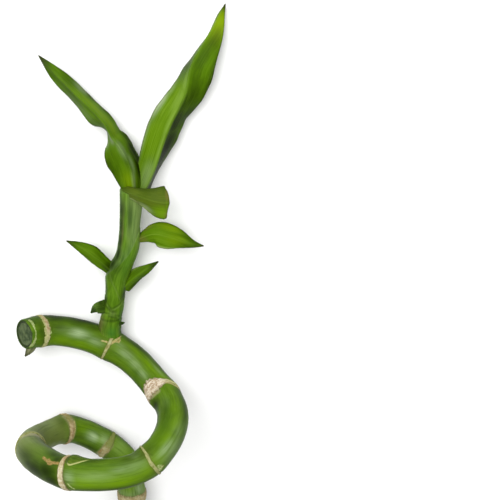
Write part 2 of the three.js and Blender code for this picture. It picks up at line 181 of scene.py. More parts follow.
def piece(name, points, faces, nodes, material, values):
    """One visible piece. points are in millimetres on the upright plant, and values are numbers for each."""
    mesh = bpy.data.meshes.new(name)
    placed_points = lay(np.reshape(points, (-1, 3)))
    placed_points[:, 2] = np.maximum(placed_points[:, 2], 0)
    mesh.from_pydata(placed_points.tolist(), [], faces)
    mesh.validate()
    mesh.polygons.foreach_set("use_smooth", [True] * len(mesh.polygons))
    for key, numbers in values.items():
        numbers = np.asarray(numbers, float)
        if numbers.shape[-1] == 3 and numbers.size == placed_points.size:
            mesh.attributes.new(key, "FLOAT_VECTOR", "POINT").data.foreach_set("vector", numbers.reshape(-1))
        else:
            mesh.attributes.new(key, "FLOAT", "POINT").data.foreach_set("value", numbers.reshape(-1))
    mesh.materials.append(material)
    made = add_object(name, mesh)
    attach(made, "root")
    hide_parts(*nodes)


def tube_faces(rows, count, joined=False):
    """Faces between the rows of a tube. A joined tube closes on itself, the last row to the first."""
    faces = []
    for r in range(rows if joined else rows - 1):
        a, b = r * count, (r + 1) % rows * count
        for k in range(count):
            beside = (k + 1) % count
            faces.append((a + k, a + beside, b + beside, b + k))
    return faces


def outward(points, faces):
    """Turns the faces outward where the solid came out inside out."""
    points = np.reshape(points, (-1, 3))
    middle = points.mean(0)
    volume = 0
    for face in faces:
        a = points[face[0]] - middle
        for j in range(1, len(face) - 1):
            volume += a @ np.cross(points[face[j]] - middle, points[face[j + 1]] - middle)
    return faces if volume > 0 else [tuple(reversed(face)) for face in faces]


def closed_tube(grid):
    """Faces of a tube of rows of points, closed at both ends by one face each."""
    rows, count = grid.shape[:2]
    faces = tube_faces(rows, count)
    faces.append(tuple(reversed(range(count))))
    faces.append(tuple((rows - 1) * count + k for k in range(count)))
    return outward(grid, faces)


# Materials

PAINT = 0.80  # the share of a seen colour that the paint has, because the stage is bright


def colour(r, g, b):
    """A colour as it is seen, 0 to 255 on screen, as the paint's linear light."""
    def linear(v):
        return ((v / 255 + 0.055) / 1.055) ** 2.4 if v > 10 else v / 255 / 12.92
    return tuple(PAINT * linear(v) for v in (r, g, b)) + (1.0,)


def is_socket(value):
    return isinstance(value, bpy.types.NodeSocket)


class Nodes:
    """The nodes of a material or a world."""

    def __init__(self, owner):
        owner.use_nodes = True
        self.owner = owner
        self.tree = owner.node_tree

    def put(self, value, socket):
        if is_socket(value):
            self.tree.links.new(value, socket)
        else:
            socket.default_value = value

    def node(self, kind, inputs, **settings):
        """A new node. Each of its inputs is a number or another node's output."""
        node = self.tree.nodes.new("ShaderNode" + kind)
        for key, v in settings.items():
            setattr(node, key, v)
        for key, v in inputs.items():
            self.put(v, node.inputs[key])
        return node

    def between(self, x, low, high, to_low=0.0, to_high=1.0):
        inputs = {"Value": x, "From Min": low, "From Max": high, "To Min": to_low, "To Max": to_high}
        return self.node("MapRange", inputs, interpolation_type="SMOOTHSTEP").outputs[0]


class Material(Nodes):
    """One surface of procedural nodes. The numbers kept for each point steer it by name."""

    def __init__(self, name):
        super().__init__(bpy.data.materials.new(name))
        self.tree.nodes.clear()

    def value(self, name):
        return self.node("Attribute", {}, attribute_name=name).outputs["Fac"]

    def place(self, along=1, across=1):
        """The place on the skin in millimetres, with a scale along it and one for both ways across."""
        skin = self.node("Attribute", {}, attribute_name="skin").outputs["Vector"]
        return self.node("Mapping", dict(Vector=skin, Scale=(along, across, across))).outputs[0]

    def noise(self, place, scale, detail, rough, warp=0.0):
        inputs = dict(Vector=place, Scale=scale, Detail=detail, Roughness=rough, Distortion=warp)
        return self.node("TexNoise", inputs).outputs["Fac"]

    def maths(self, kind, a, b):
        return self.node("Math", {0: a, 1: b}, operation=kind).outputs[0]

    def mix(self, share, a, b):
        node = self.node("Mix", dict(Factor=share, A=a, B=b), data_type="RGBA")
        return next(o for o in node.outputs if o.type == "RGBA")

    def blend(self, x, low, high, first, second):
        """The first colour where x is low, and the second where it is high."""
        return self.mix(self.between(x, low, high), colour(*first), colour(*second))

    def stain(self, base, x, low, high, share, seen):
        """Lays a colour over the base, up to its share, as x goes from low to high."""
        return self.mix(self.between(x, low, high, 0, share), base, colour(*seen))

    def over(self, base, **tints):
        """Lays tints over the base, each as strong as the number of its name is."""
        for key, tint in tints.items():
            base = self.mix(self.value(key), base, tint if is_socket(tint) else colour(*tint))
        return base

    def finish(self, base, roughness, specular, height=None, strength=0.3, distance=0.0003):
        inputs = {"Base Color": base, "Roughness": roughness, "Specular IOR Level": specular}
        if height is not None:
            bump = self.node("Bump", dict(Strength=strength, Distance=distance, Height=height))
            inputs["Normal"] = bump.outputs[0]
        surface = self.node("BsdfPrincipled", inputs)
        self.node("OutputMaterial", {"Surface": surface.outputs[0]})
        return self.owner


def cane_material():
    m = Material("cane_skin")
    skin = m.place()
    fibres = m.place(0.05)
    patches = m.noise(m.place(0.3), 0.12, 3, 0.55, 0.4)
    streaks = m.noise(fibres, 0.9, 4, 0.6, 0.2)
    fine = m.noise(fibres, 3, 3, 0.6)
    base = m.blend(patches, 0.36, 0.66, (68, 100, 14), (88, 120, 22))
    base = m.over(base, olive=(108, 122, 56))
    # Yellow-green skin, with painted bounce light from the floor on the lower sides.
    lime_and_bounce_light = m.maths("MULTIPLY", m.value("lime_and_bounce_light"), m.between(patches, 0.2, 0.6, 0.75, 1))
    base = m.mix(lime_and_bounce_light, base, colour(100, 136, 6))
    # Painted highlight: a pale grey-green sheen where the light reflects, broken up by the streaks.
    painted_highlight = m.maths("MULTIPLY", m.value("painted_highlight"), m.between(streaks, 0.3, 0.6, 1, 0.72))
    base = m.mix(painted_highlight, base, colour(168, 190, 142))
    base = m.stain(base, streaks, 0.5, 0.72, 0.42, (44, 68, 12))
    base = m.stain(base, fine, 0.5, 0.75, 0.18, (136, 164, 84))
    base = m.over(base, shade=(28, 42, 2))
    specks = m.noise(skin, 2.6, 2, 0.7)
    base = m.stain(base, specks, 0.68, 0.76, 0.35, (88, 84, 36))
    base = m.over(base, joint=(92, 100, 36))
    base = m.stain(base, m.value("buff"), 0.1, 0.75, 0.75, (156, 152, 108))
    ragged = m.maths("MULTIPLY", m.maths("SUBTRACT", m.noise(skin, 1.1, 4, 0.75), 0.5), 0.75)
    mottled = m.noise(skin, 1.9, 4, 0.7)
    for key, share, light, dark in (
            ("rust", 0.75, (190, 152, 100), (118, 98, 46)),
            ("tan", 0.9, (196, 184, 126), (146, 132, 76)),
            ("pale", 0.9, (190, 200, 140), (116, 138, 60))):
        stroke = m.between(m.maths("ADD", m.value(key), ragged), 0.36, 0.72, 0, share)
        base = m.mix(stroke, base, m.blend(mottled, 0.38, 0.62, light, dark))
    pith = m.blend(m.noise(skin, 1.8, 4, 0.7), 0.4, 0.62, (196, 200, 148), (150, 160, 104))
    base = m.over(base, cut=pith, callus=(48, 66, 26))
    height = m.maths("ADD", m.maths("MULTIPLY", streaks, 0.7), m.maths("MULTIPLY", fine, 0.3))
    return m.finish(base, m.between(patches, 0.3, 0.7, 0.34, 0.44), 0.04, height, 0.22)


def ring_material():
    m = Material("ring_scar")
    skin = m.place()
    along = m.noise(m.place(1.4, 0.5), 0.9, 4, 0.65, 0.5)
    blots = m.noise(skin, 0.5, 3, 0.6, 0.6)
    grain = m.noise(skin, 1, 4, 0.75)
    lines = m.noise(m.place(1, 0.25), 0.62, 4, 0.7, 1)
    base = m.blend(blots, 0.38, 0.62, (200, 196, 152), (172, 156, 108))
    base = m.stain(base, along, 0.5, 0.68, 0.75, (118, 108, 60))
    pink = m.blend(grain, 0.42, 0.62, (236, 226, 206), (182, 156, 122))
    pink = m.stain(pink, lines, 0.5, 0.6, 0.6, (132, 98, 66))
    olive = m.blend(along, 0.45, 0.65, (164, 166, 112), (118, 124, 64))
    rose = m.blend(blots, 0.4, 0.6, (182, 160, 124), (150, 124, 84))
    light = m.blend(grain, 0.4, 0.6, (206, 206, 148), (168, 170, 104))
    edge = m.blend(grain, 0.4, 0.6, (112, 108, 46), (74, 76, 24))
    base = m.over(base, pink=pink, olive=olive, rose=rose, green=(112, 126, 52), light=light, edge=edge)
    return m.finish(base, 0.75, 0.08, along, 0.7, 0.0005)


def cut_face_material():
    m = Material("cut_face")
    fibres = m.noise(m.place(), 1.6, 5, 0.75)
    clouds = m.noise(m.place(), 0.35, 3, 0.5)
    base = m.blend(clouds, 0.35, 0.65, (92, 106, 70), (58, 74, 46))
    base = m.stain(base, fibres, 0.56, 0.72, 0.45, (116, 126, 92))
    base = m.stain(base, fibres, 0.44, 0.30, 0.6, (34, 46, 26))
    base = m.over(base, edge=(26, 36, 16))
    return m.finish(base, 0.7, 0.08, fibres, 0.6, 0.0005)


def stem_material():
    m = Material("shoot_skin")
    streaks = m.noise(m.place(0.05), 1.1, 3, 0.6, 0.1)
    fine = m.noise(m.place(0.05), 3.4, 3, 0.6)
    base = m.blend(streaks, 0.36, 0.64, (78, 108, 46), (104, 132, 64))
    base = m.stain(base, fine, 0.5, 0.72, 0.3, (128, 154, 92))
    fresh = m.blend(streaks, 0.38, 0.62, (74, 110, 10), (94, 132, 24))
    # The darkest tint carries darker marks together with painted shade.
    base = m.over(base, fresh=fresh, emerald=(58, 112, 36), pale=(138, 160, 88), brown=(116, 108, 64),
                  dark=(26, 42, 8))
    height = m.maths("ADD", m.maths("MULTIPLY", streaks, 0.6), m.maths("MULTIPLY", fine, 0.4))
    return m.finish(base, 0.45, 0.04, height, 0.25)


def leaf_material(name, low, high, dark, light):
    m = Material(name)
    veins = m.noise(m.place(0.02), 2.2, 3, 0.6, 0.05)
    broad = m.noise(m.place(0.3), 0.16, 3, 0.5, 0.3)
    base = m.blend(broad, 0.36, 0.64, low, high)
    # Brighter yellow-green, with painted light on the lit half of a fold.
    bright = m.blend(veins, 0.4, 0.62, (86, 122, 4), (96, 130, 18))
    base = m.over(base, bright=bright, yellow=(120, 148, 0))
    # Painted shade on the shaded half of a fold, with the darker tips and margins.
    base = m.mix(m.maths("MAXIMUM", m.value("shade_and_dark_marks"), m.value("dark")), base, colour(*dark))
    # Painted sheen: a pale grey-green reflection on the blade; then the lighter midrib.
    base = m.over(base, bloom=(158, 174, 134), rib=(116, 148, 54))
    base = m.stain(base, veins, 0.52, 0.7, 0.28, light)
    base = m.stain(base, veins, 0.46, 0.3, 0.3, dark)
    base = m.over(base, pale=(160, 178, 110), brown=(112, 100, 52), margin=(54, 60, 20), dry=(50, 48, 28))
    return m.finish(base, m.between(broad, 0.3, 0.7, 0.38, 0.5), 0.03, veins, 0.3)


def plain_material(name, low, high, dark, light, scale, rough):
    m = Material(name)
    fibres = m.noise(m.place(0.15), scale, 4, 0.6, 0.2)
    base = m.blend(fibres, 0.36, 0.64, low, high)
    base = m.over(base, edge=dark, pale=light)
    return m.finish(base, rough, 0.08, fibres, 0.5, 0.0004)


CANE_SKIN = cane_material()
RING_SCAR = ring_material()
CUT_FACE = cut_face_material()
SHOOT_SKIN = stem_material()
LEAF_GREEN = leaf_material("leaf_green", (60, 90, 2), (80, 116, 4), (19, 31, 0), (108, 138, 40))
LEAF_OLIVE = leaf_material("leaf_olive", (64, 84, 16), (80, 98, 20), (44, 60, 8), (104, 124, 50))
BUD_SKIN = plain_material("bud_skin", (60, 86, 12), (86, 108, 22), (50, 58, 18), (186, 188, 120), 1.4, 0.5)
DRY_SHEATH = plain_material("dry_sheath", (84, 90, 56), (128, 130, 94), (46, 48, 30), (166, 168, 128),
                            1.6, 0.8)


# The cane, with the same curve and widths as the part's source.

CANE_PATH = [
    (-40.4, 26.4, 51.2), (-29.5, 35.4, 48.3), (-15, 39.8, 44), (1.2, 40, 37.7), (17.6, 36.2, 28.2),
    (30.8, 24.8, 19.2), (39.8, 9.4, 14.3), (40.4, -8, 11.5), (34.8, -23.5, 9.2), (24.2, -34, 6.6),
    (8.4, -38.6, 6.2), (-9.5, -35.8, 5.1), (-24, -24.5, 2.7), (-34.3, -8.8, -2), (-37.5, 8.1, -7.8),
    (-32.4, 24, -13.5), (-22.3, 35, -17.3), (-7.9, 39.5, -27.1), (6.1, 37.8, -37.3),
    (11.4, 36.5, -49.5), (12, 35.6, -68), (11.6, 35.8, -90), (10.8, 36.6, -114),
    (9.5, 38, -138), (7.5, 40, -162),
]
CANE_RADII = [8.3, 8.5, 8.4, 8.2, 8.2, 7.8, 7.6, 7.1, 7.2]
# Each joint: where its ring is, how wide it is, how much wider on one side, how far it leans that way, and
# how much the cane swells there.
JOINTS = [
    dict(name="top", at=10.1, width=2.2, wider=2, side=(0.67, -0.71, 0.24)),
    dict(name="shoot", at=49.8, width=1.2, wider=0.8, side=(0, -1, 0.5), swell=0.6),
    dict(name="broad", at=94.1, width=2, wider=9, side=(-0.59, -0.59, 0.54), lean=3.8, swell=0.6),
    dict(name="right", at=146.4, width=1.1, wider=0.6, side=(0.47, -0.59, 0.66), lean=-3.6),
    dict(name="front", at=191.2, width=2.4, wider=0.8, side=(-0.04, -0.74, -0.67), lean=1.35),
    dict(name="left", at=235.6, width=2.6, wider=1, side=(0.28, 0.37, 0.88), lean=-4.3, swell=0.1),
    dict(name="back", at=277, width=2.6, wider=0.6, side=(0.67, -0.68, 0.29), swell=0.9),
    dict(name="hidden", at=306, width=1.8, wider=3, side=(0.09, -0.95, 0.3), swell=0.4),
    dict(name="straight", at=344.8, width=5.5, wider=1.5, side=(0, -1, 0), swell=1.1),
    dict(name="foot", at=404.8, width=2.6, wider=1, side=(0, -1, 0)),
]
JOINT_SWELL = 0.5
JOINT_REACH = 5.0
CREASE_DEPTH = 0.28
CREASE_WIDTH = 0.5
RIM = 1.3  # how thick the skin's rim is round the upper cut
AROUND = 96
ANGLES = np.arange(AROUND) * 2 * math.pi / AROUND

cane = Centreline(CANE_PATH, 600)
taper = smooth([[r] for r in CANE_RADII])
for joint in JOINTS:
    joint["turn"] = cane.angle_to(joint["at"], joint["side"])


def cane_radius(s):
    s = np.asarray(s, float)
    radius = taper(s / cane.length * (len(CANE_RADII) - 1))[..., 0]
    for joint in JOINTS:
        radius = radius + joint.get("swell", JOINT_SWELL) * hill((s - joint["at"]) / JOINT_REACH)
    return radius


def joint_middle(joint, angle):
    return joint["at"] - joint.get("lean", 0) * np.cos(angle - joint["turn"])


def joint_half(joint, angle):
    return (joint["width"] + joint["wider"] * np.maximum(0, np.cos(angle - joint["turn"])) ** 2) / 2


def beyond(joint, s, angle):
    """How far a place lies beyond the nearer side of a joint's ring, and less than 0 inside the ring."""
    return np.abs(s - joint_middle(joint, angle)) - joint_half(joint, angle)


def cane_surface(s, angle):
    """The skin's distance from the centreline, a little uneven, with a crease at each side of a ring."""
    radius = cane_radius(s) + 0.10 * waves(s * 0.12, angle, 3) + 0.035 * waves(s * 0.5, angle, 4)
    for joint in JOINTS:
        radius = radius - CREASE_DEPTH * hill(beyond(joint, s, angle) / CREASE_WIDTH)
    return radius


def skin_place(s, angle, radius):
    return np.stack([s, radius * np.cos(angle), radius * np.sin(angle)], axis=-1)


# Soft patches on the skin: place along the cane in millimetres, angle round it in degrees, reach along it and
# round it in millimetres, and strength.
PATCHES = {
    # Yellow-green skin, with painted bounce light from the floor on the lower sides.
    "lime_and_bounce_light": [
        (22, 6, 12, 3.2, 0.75), (36, 12, 12, 3, 0.9), (57, 20, 7, 2.5, 0.4), (77, 296, 8, 4.5, 0.9),
        (88, 284, 5, 3.5, 0.7), (66, 298, 8, 3, 0.8), (103, 300, 6, 2.6, 0.5), (113, 294, 8, 2.6, 0.8),
        (125, 282, 8, 3, 0.9), (136, 278, 8, 4, 0.9), (146, 262, 8, 4, 0.8), (4, 350, 2.4, 3, 0.5),
        (152, 241, 6, 3, 0.6), (165, 226, 10, 3.5, 1), (180, 232, 10, 3.5, 1), (286, 36, 6, 4.5, 0.8),
        (300, 57, 6, 3.5, 0.9), (312, 40, 9, 5, 1), (322, 10, 8, 5, 0.9), (336, 92, 5, 2.6, 0.7),
    ],
    # Painted highlight: a pale grey-green sheen where the light reflects.
    "painted_highlight": [
        (24, 322, 7, 2.2, 0.2), (31, 327, 6, 2.3, 0.9), (42, 340, 5, 2, 0.4), (56, 312, 5, 1.8, 0.3),
        (62, 328, 6, 2.2, 0.5), (71, 336, 6, 2.2, 0.45), (79, 341, 5, 2, 0.5), (82, 283, 6, 1, 0.3),
        (108, 330, 6, 2.6, 0.1), (140, 262, 6, 1.8, 0.6), (164, 273, 5, 1.8, 0.3), (155, 318, 3, 3, 0.3),
        (238, 320, 12, 4, 0.25), (294, 59, 4.5, 2.4, 0.95), (302, 49, 5, 3, 0.5), (344, 80, 6, 20, 0.45),
        (312, 38, 5, 4.5, 0.2), (262, 350, 8, 4, 0.2), (158, 275, 9, 3, 0.25), (337.5, 45, 5, 3, 0.55),
        (187.5, 247, 3, 3, 0.55), (137, 238, 8, 3.4, 0.35), (176, 254, 9, 2.4, 0.22), (128, 257, 6, 3, 0.2),
    ],
    "shade": [
        (17, 258, 10, 5.8, 0.95), (32, 258, 12, 5.4, 0.95), (23, 272, 8, 3.4, 0.6), (37, 277, 7, 3.4, 0.6),
        (45, 268, 7, 4, 0.85), (15, 300, 4, 4, 0.4), (6.5, 296, 1.6, 6, 0.5), (6, 312, 2.6, 8, 0.5),
        (8, 352, 1.6, 8, 0.5), (3, 262, 2, 3, 0.6), (7, 8, 1.4, 2.4, 0.35), (64, 268, 12, 2.6, 0.7),
        (80, 262, 10, 2, 0.5), (58, 40, 9, 3, 0.4), (70, 56, 12, 3, 0.6), (86, 50, 8, 2.6, 0.7),
        (103, 18, 6, 4.2, 0.95), (112, 34, 9, 3.8, 0.9), (126, 22, 10, 3.6, 0.8), (114, 340, 10, 3, 0.35),
        (110, 246, 14, 3, 0.6), (128, 226, 12, 3, 0.2), (154, 322, 8, 4.2, 0.55), (150, 300, 6, 3.4, 0.6),
        (158, 308, 6, 3, 0.5), (168, 322, 10, 2.6, 0.2), (178, 324, 8, 2.6, 0.6), (168, 190, 24, 2.2, 0.6),
        (199, 250, 8, 6, 0.95), (207, 236, 14, 6.5, 0.95), (196, 222, 8, 6, 0.95), (200, 320, 6, 3.6, 0.7),
        (216, 262, 12, 4.5, 0.75), (296, 116, 12, 2.4, 0.6), (284, 80, 6, 2, 0.4),
        (195.5, 303, 4, 3.2, 0.85), (213, 244, 7, 5, 0.9), (3.5, 283, 2, 3, 0.5), (78, 276, 5, 2.5, 0.35),
        (39, 289, 7, 2.6, 0.6), (19, 312, 6, 3, 0.45), (62, 309, 7, 2.2, 0.35), (45, 323, 4, 3, 0.3),
        (272, 10, 4, 4, 0.4), (74, 316, 4, 2.4, 0.2),
    ],
}
# How olive the skin is, by its place along the cane.
OLIVE_AT = [0, 198, 212, 235, 270, 280, 340, 350, 440]
OLIVE_SHARE = [0, 0, 0.35, 1, 0.85, 0, 0.1, 0.8, 0.5]
SHADE_SIDE = (0.3, 0.9, 0.1)  # the direction in which the skin is darkest
# Old scars drawn on the skin: half width, and then the points by place and angle. "line" is dark.
SCARS = {
    "tan": [
        (0.45, [(45.2, 328), (47.8, 325), (49.8, 324)]), (0.9, [(49.6, 328), (50.6, 322)]),
        (0.6, [(50.4, 326), (52.2, 304), (53.2, 290), (53.2, 270)]), (0.7, [(50.8, 322), (52.4, 304)]),
        (0.35, [(53.4, 286), (54.4, 295), (54.2, 306), (52.6, 311)]),
        (0.5, [(148.6, 212), (147, 217), (145.6, 220)]),
        (0.6, [(93.2, 300), (95, 282), (97, 262), (98, 246)]), (0.7, [(279, 20), (279, 60), (279.2, 90)]),
    ],
    "buff": [
        (2.8, [(240, 280), (236.4, 317), (236, 348), (235.6, 20), (237, 44)]),
        (2.2, [(305, 124), (305.4, 96), (305.8, 60)]), (2, [(276.6, 350), (277.4, 40), (277.6, 95)]),
        (1.4, [(95.6, 4), (96.2, 350), (96.6, 336)]),
    ],
    "line": [
        (1.1, [(233.6, 312), (231.9, 330), (231.5, 350), (231.9, 14)]),
        (0.4, [(14.2, 262), (13.4, 300), (13.6, 325)]), (0.4, [(193.6, 216), (193.2, 240), (193.8, 262)]),
        (0.4, [(147.6, 276), (148.4, 300)]),
    ],
    "rust": [
        (0.8, [(193.6, 290), (197, 286), (200.2, 286), (203.6, 291)]), (0.6, [(198.4, 285), (200, 294)]),
        (0.6, [(196.8, 281), (198.8, 277)]), (0.5, [(53.6, 300), (54.2, 307)]),
        (0.7, [(303.4, 112), (304, 90)]), (0.4, [(188.6, 352), (190, 345), (190.6, 330)]),
    ],
    "pale": [
        (0.75, [(2.1, 264), (2.3, 282), (1.9, 303)]), (0.4, [(1.9, 303), (2, 326), (1.6, 345)]),
        (0.8, [(1.5, 347), (1.1, 357), (0.7, 380)]), (0.5, [(11.6, 328), (12.8, 333), (11.8, 340)]),
        (0.4, [(187.4, 224), (186.4, 212), (185.2, 200)]),
        (1.1, [(147.6, 230), (146.8, 222), (147.4, 212)]),
    ],
}
# The dry light line on the rim of the upper cut, in degrees: its middle, half its length, the green gap in it
# by its distance from the middle, and the bright spot beside it.
RIM_LINE = dict(middle=321, half=62, gap=4, spot=24)
SCAR_RADIUS = 8.2  # turns a scar's angles into millimetres


def wrapped(angle):
    """The same angle between minus and plus half a turn."""
    return np.radians((np.degrees(angle) + 180) % 360 - 180)


def from_degrees(angle, degrees):
    return wrapped(angle - math.radians(degrees))


def bring_up(values, key, field):
    values[key] = np.maximum(values[key], field)


def patch_field(patches, s, angle, radius):
    field = np.zeros_like(s)
    for at, turn, along, across, strength in patches:
        off = from_degrees(angle, turn) * radius
        field = np.maximum(field, strength * np.exp(-((s - at) / along) ** 2 - (off / across) ** 2))
    return field


def scar_field(scars, s, angle, radius):
    """1 on a stroke's middle line, 0.5 at its edge, and 0 or less beyond."""
    field = np.zeros_like(s)
    for half, path in scars:
        for (s0, a0), (s1, a1) in zip(path, path[1:]):
            along, across = s - s0, from_degrees(angle, a0) * radius
            step = np.array([s1 - s0, float(wrapped(math.radians(a1 - a0))) * SCAR_RADIUS])
            t = np.clip((along * step[0] + across * step[1]) / (step @ step), 0, 1)
            away = np.hypot(along - t * step[0], across - t * step[1])
            field = np.maximum(field, 1 - away / (2 * half))
    return field


# Rows of the cane's two cut ends: how far from the end they are, and how far inside the skin.
TOP_ROWS = [(1.15, RIM + 0.4), (1.15, RIM), (0.5, RIM), (0.1, RIM - 0.15), (0, 0.75), (0.12, 0.35),
            (0.5, 0.08)]
FOOT_ROWS = [(0.5, 0.06), (0.15, 0.3), (0, 0.7), (0, 1.6), (0.05, 3.2), (0.1, 5.2)]
RIM_ROWS = 6  # rows from the top that carry the rim's colours
CUT_ROWS = 4  # rows at the foot that show the cut
ROW_STEP = 0.55
END = 0.8  # the ends keep the width that the skin has this far from them
CUT_FACE_DEPTH = 1.1


def build_cane():
    even = np.arange(1.0, cane.length - 0.9, ROW_STEP)
    rows = TOP_ROWS + [(s, 0) for s in even] + [(cane.length - s, inset) for s, inset in FOOT_ROWS]
    s, inset = (np.array(column, float)[:, None] + np.zeros(AROUND) for column in zip(*rows))
    angle = np.zeros_like(s) + ANGLES
    radius = cane_surface(np.clip(s, END, cane.length - END), angle) - inset
    points = cane.around(s, angle, radius)
    values = {key: patch_field(patches, s, angle, radius) for key, patches in PATCHES.items()}
    values.update({key: scar_field(scars, s, angle, radius) for key, scars in SCARS.items()})
    values.update(skin=skin_place(s, angle, radius), olive=np.interp(s, OLIVE_AT, OLIVE_SHARE),
                  joint=np.zeros_like(s))
    for joint in JOINTS:
        bring_up(values, "joint", 0.5 * np.exp(-np.maximum(beyond(joint, s, angle), 0) / 0.8))
    out = unit(points - cane.at(s)[0])
    bring_up(values, "shade", 0.75 * rise(out @ unit(np.array(SHADE_SIDE)) * 1.3 - 0.25))
    bring_up(values, "shade", 0.6 * values.pop("line"))
    number = np.arange(len(rows))[:, None] + np.zeros(AROUND)
    at_top = number < RIM_ROWS
    turn = from_degrees(angle, RIM_LINE["middle"])
    reach = rise((math.radians(RIM_LINE["half"]) - np.abs(turn)) / 0.25)
    gap = hill((np.degrees(turn) - RIM_LINE["gap"]) / 9)
    line = reach * (1 - 0.75 * gap) * at_top
    spot = 0.9 * at_top * hill(from_degrees(angle, RIM_LINE["spot"]) / 0.3)
    bring_up(values, "pale", np.maximum(0.35 * line, spot))
    values["callus"] = 0.9 * at_top * (1 - np.maximum(line, spot))
    values["cut"] = number >= len(rows) - CUT_ROWS
    piece("cane_skin", points, closed_tube(points), ["cane"], CANE_SKIN, values)


# Each ring's shares of white-pink, olive, rose-brown, the skin's green, and of light and dark on its edges.
RING_TINTS = {
    "top": (0.1, 0.3, 0.3, 0, 0.45, 0.1), "shoot": (0, 0.5, 0, 0.2, 0, 0.5),
    "broad": (1, 0, 0.1, 0, 0, 0.6), "right": (0, 0.8, 0, 0.2, 0.4, 0.3),
    "front": (0.5, 0.1, 0, 0, 0, 0.75), "left": (0, 0.9, 0, 0.2, 0.1, 0),
    "back": (0, 0.2, 0.8, 0, 0.15, 0.2), "hidden": (0.1, 0.3, 0.4, 0.2, 0, 0.2),
    "straight": (0.3, 0.4, 0.4, 0, 0, 0.5), "foot": (0.1, 0.4, 0.2, 0, 0, 0.6),
}
# A ring's cross-section: places from side to side, -1 to 1, and heights above the skin in millimetres.
RING_ACROSS = np.array([-1, -0.98, -0.85, -0.6, -0.3, 0, 0.3, 0.6, 0.85, 0.98, 1])
RING_HEIGHT = np.array([-0.25, 0.05, 0.22, 0.32, 0.26, 0.34, 0.26, 0.34, 0.24, 0.05, -0.25])
RING_ROWS = 220


def build_ring(joint, seed):
    across = RING_ACROSS
    angle = np.arange(RING_ROWS)[:, None] * 2 * math.pi / RING_ROWS + np.zeros(len(across))
    ragged = 1 + 0.10 * waves(0, angle * 3, seed, 8) + 0.13 * waves(0, angle * 11, seed + 1, 8)
    half = joint_half(joint, angle) * np.clip(ragged, 0.6, 1.2)
    wander = 0.12 * waves(0, angle * 2, seed + 2, 5)
    s = joint_middle(joint, angle) + across * half + wander
    radius = cane_radius(s) + RING_HEIGHT * (0.85 + 0.2 * waves(0, angle * 5, seed + 3, 6)) - 0.03
    points = cane.around(s, angle, radius)
    name = joint["name"]
    pink, olive, rose, green, light, dark = RING_TINTS[name]
    sides = rise((np.abs(across) - 0.6) / 0.3) + np.zeros_like(s)
    light, edge = light * sides, np.maximum(dark * sides, 0.6 * (np.abs(across) > 0.99))
    if name == "broad":
        wide = rise(np.cos(angle - joint["turn"]) * 1.5 - 0.1)
        pink, light, edge = pink * wide, 0.8 * (1 - wide), edge * wide
    if name == "front":
        high = hill(from_degrees(angle, 312) / 0.4)
        pink, rose = pink * (1 - high), rose + 0.8 * high
    if name == "back":
        green = green + 0.6 * hill(from_degrees(angle, 3) / 0.4)
    if name == "hidden":
        green = green + 0.65 * rise(np.cos(angle - math.radians(5)) * 2.2 - 0.4)
    if name == "top":
        low = rise(np.cos(angle - math.radians(50)) * 2)
        rose = 0.9 * hill((across - 0.1) / 0.45) * (1 - low)
        light = np.maximum(light, 0.5 * low)
        green = 0.8 * rise((-across - 0.45) / 0.3)
    values = dict(edge=edge, light=light, pink=pink, olive=olive, rose=rose, green=green)
    values = {key: share + np.zeros_like(s) for key, share in values.items()}
    values["skin"] = skin_place(s, angle, radius)
    faces = outward(points, tube_faces(RING_ROWS, len(across), joined=True))
    piece("scar_" + name, points, faces, ["ring_" + name], RING_SCAR, values)


def build_cut_face():
    rings = np.array([0.0, 0.1, 0.25, 0.4, 0.55, 0.7, 0.82, 0.92, 0.98, 1.0])[::-1]
    radius = (float(cane_radius(END)) - RIM + 0.05) * rings[:, None] + np.zeros(AROUND)
    radius[-1] = 0.02
    angle = np.zeros_like(radius) + ANGLES
    depth = 0.25 + 0.35 * (1 - rings[:, None] ** 2) + 0.10 * waves(radius * 1.5, angle, 12)
    front = cane.around(depth, angle, radius)
    back = cane.around(np.full_like(radius[:1], CUT_FACE_DEPTH), angle[:1], radius[:1])
    points = np.concatenate([back, front])
    place = np.stack([radius * np.cos(angle), radius * np.sin(angle), depth], axis=-1)
    edge = 0.85 * rise((rings[:, None] - 0.82) / 0.15) + np.zeros(AROUND)
    values = dict(skin=np.concatenate([place[:1], place]), edge=np.concatenate([edge[:1], edge]))
    piece("cut_face_dried", points, closed_tube(points), ["cut_face"], CUT_FACE, values)


# The shoot's stem, wrapped in leaf bases whose edges climb to one leaf each.

SHOOT_PATH = [
    (4.4, 41, 35.6), (4.4, 40.5, 44.4), (5.3, 40.1, 52.3), (7.1, 39.8, 59.5), (8.5, 39.5, 67.2),
    (9.8, 39.2, 74.9), (11.1, 38.9, 82.1), (14, 38.6, 88.8), (16.8, 38.4, 96), (18.2, 38.2, 103.8),
    (19.1, 38, 113.3), (20.2, 38, 122.6), (20.7, 38, 131.8),
]
SHOOT_RADII = [5.2, 6.4, 5.8, 5.3, 5.5, 6, 6.5, 5.9, 6.1, 5.8, 5.9, 6.3, 6.3]
# The edges of the leaf bases: where along the stem each is lowest and highest, its highest side, how sharp
# its dip is, how light it is, how much painted shade the stem has just beside it, and how fresh the leaf
# base's green is.
SHEATHS = [
    dict(low=15, high=23.5, side=(0, -1, 0), dip=0.7, light=0.1, dark=0.4),
    dict(low=26.5, high=36, side=(0.17, 1, 0), dip=0.5, light=0.2, dark=0.5),
    dict(low=29, high=53, side=(-1, 0, 0), dip=1, light=0.22, dark=0.2),
    dict(low=45, high=77, side=(1, 0, 0), dip=1, light=0.08, dark=0.15, fresh=0.95),
]
WRAP = 0.34  # how high a leaf base stands above the stem at its edge
